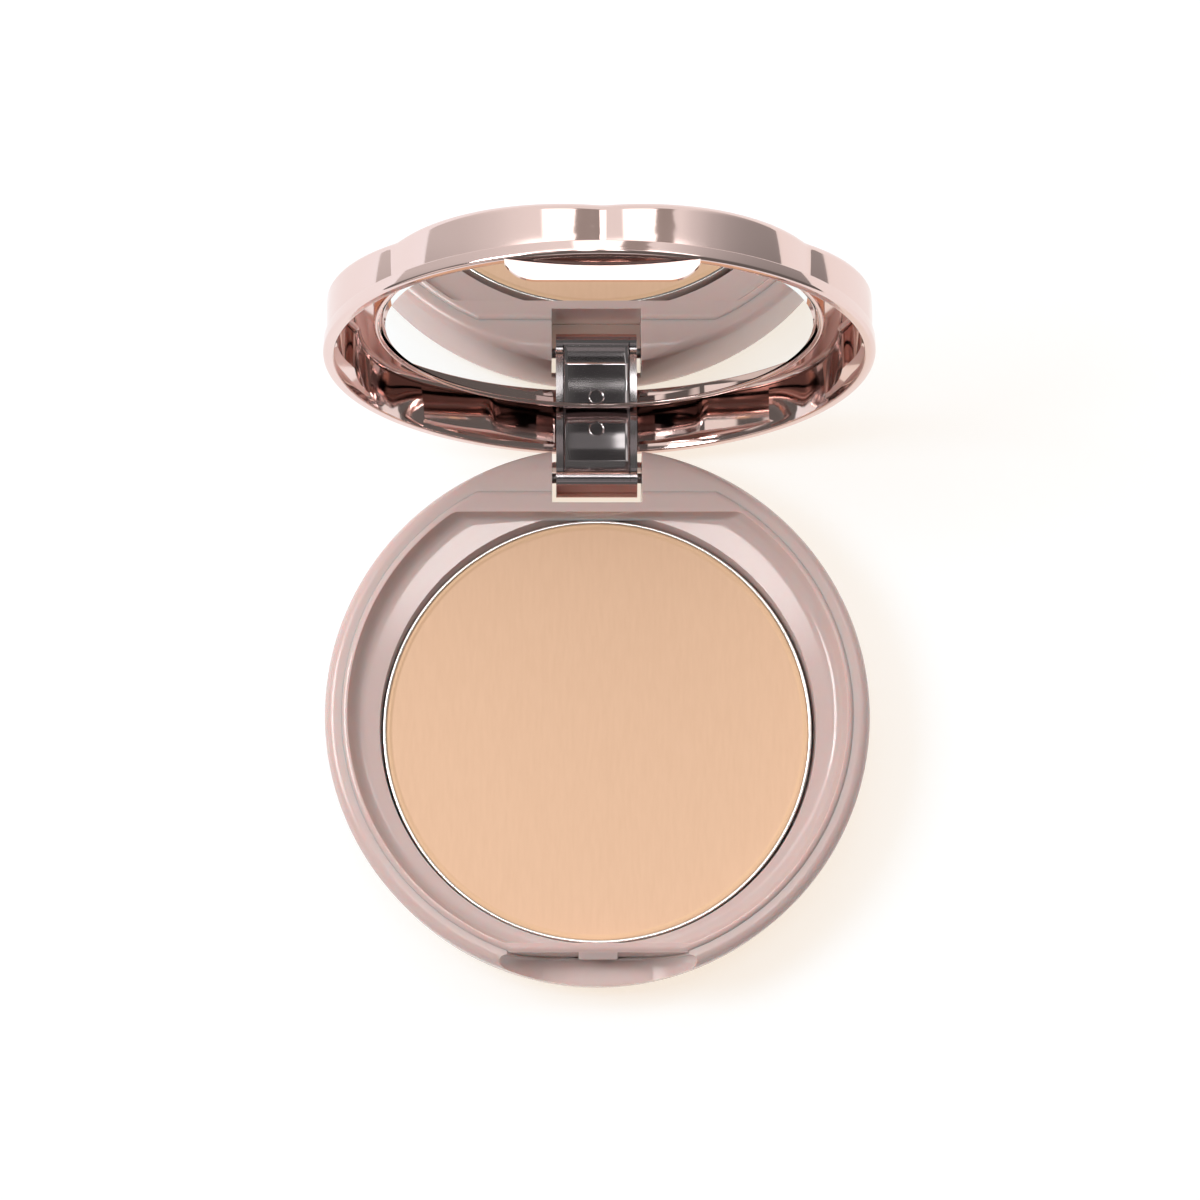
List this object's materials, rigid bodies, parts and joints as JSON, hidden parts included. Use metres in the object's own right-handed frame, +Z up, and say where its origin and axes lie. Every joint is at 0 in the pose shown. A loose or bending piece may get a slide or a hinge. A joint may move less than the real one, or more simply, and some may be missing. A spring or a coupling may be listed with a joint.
{
  "type": "powder compact",
  "caption": "Round pressed-powder compact: moulded base with a thumb notch and powder pan, and a petal-edged mirror lid that swings on a short hinge arm.",
  "frame": {"origin": "centre of the base's flat bottom, on the table", "axes": "+X to the right, +Y to the hinge at the rear, +Z up"},
  "size_m": [0.075, 0.0954, 0.0763],
  "materials": {
    "mauve_plastic": "satin dusty-pink moulding",
    "mauve_tray": "satin dusty-pink moulding",
    "clear_adhesive": "soft set adhesive",
    "tinplate": "bright pressed tinplate",
    "powder": "matte pressed powder",
    "pin_steel": "plain drawn steel",
    "rose_gold_plating": "rose-gold metal plating on plastic",
    "rose_gold_frame": "rose-gold metal plating on plastic",
    "white_tape": "foam tape",
    "mirror_silver": "silvered glass with a ground bevel",
    "smoke_plating": "smoke-grey chrome plating on plastic"
  },
  "bodies": {
    "base": {"base_shell": "mauve_plastic", "base_tray": "mauve_tray", "pan_adhesive": "clear_adhesive", "powder_pan": "tinplate", "pressed_powder": "powder", "hinge_pin": "pin_steel"},
    "lid": {"lid_shell": "rose_gold_plating", "mirror_frame": "rose_gold_frame", "mirror_tape": "white_tape", "mirror_glass": "mirror_silver", "hinge_arm": "smoke_plating"}
  },
  "joints": [
    {"name": "lid_hinge", "type": "hinge", "parent": "base", "child": "lid", "pos_m": [0, 0.0338, 0.007], "axis": [1, 0, 0], "range_deg": [0, 100]}
  ]
}
